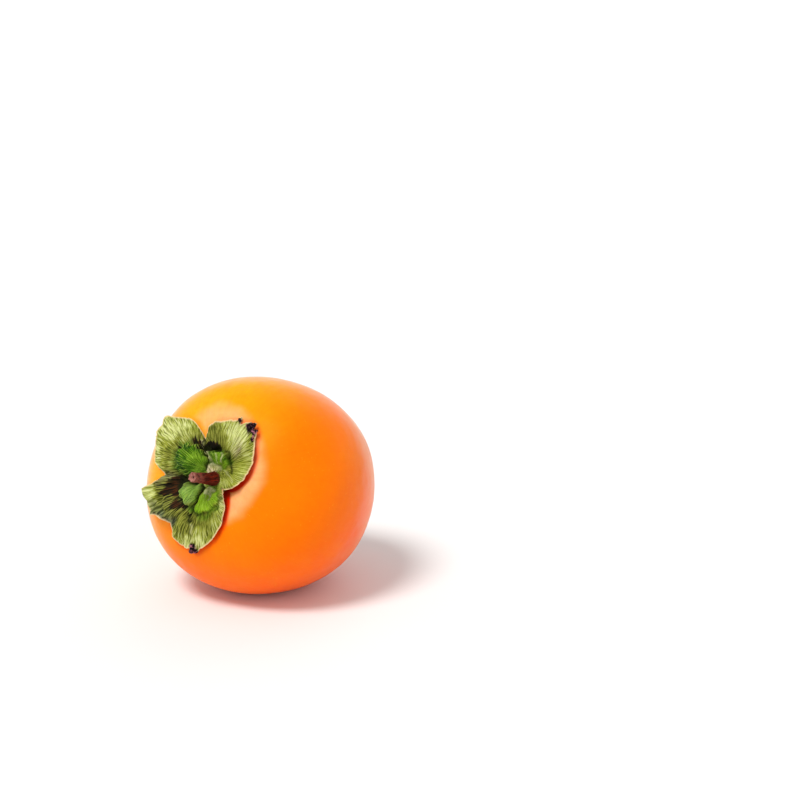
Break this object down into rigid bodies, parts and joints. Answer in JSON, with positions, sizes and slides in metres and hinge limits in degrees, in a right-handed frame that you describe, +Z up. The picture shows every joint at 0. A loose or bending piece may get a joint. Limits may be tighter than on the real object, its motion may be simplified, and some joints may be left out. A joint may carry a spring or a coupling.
{
  "type": "persimmon",
  "caption": "Whole ripe persimmon lying on its side, with a lobed leafy calyx at one end and a short woody stub of stem.",
  "frame": {"origin": "The middle of the small flat spot that the fruit rests on.", "axes": "+Z is up. The calyx and stem face -Y, lifted 20.5 degrees above level. +X is to the right as the calyx is looked at."},
  "size_m": [0.0766, 0.0826, 0.0738],
  "materials": {
    "skin": "satin",
    "calyx_leaf": "matte",
    "stem_bark": "matte"
  },
  "bodies": {
    "root": {"fruit_body": "skin", "calyx": "calyx_leaf", "stem": "stem_bark"}
  },
  "joints": []
}
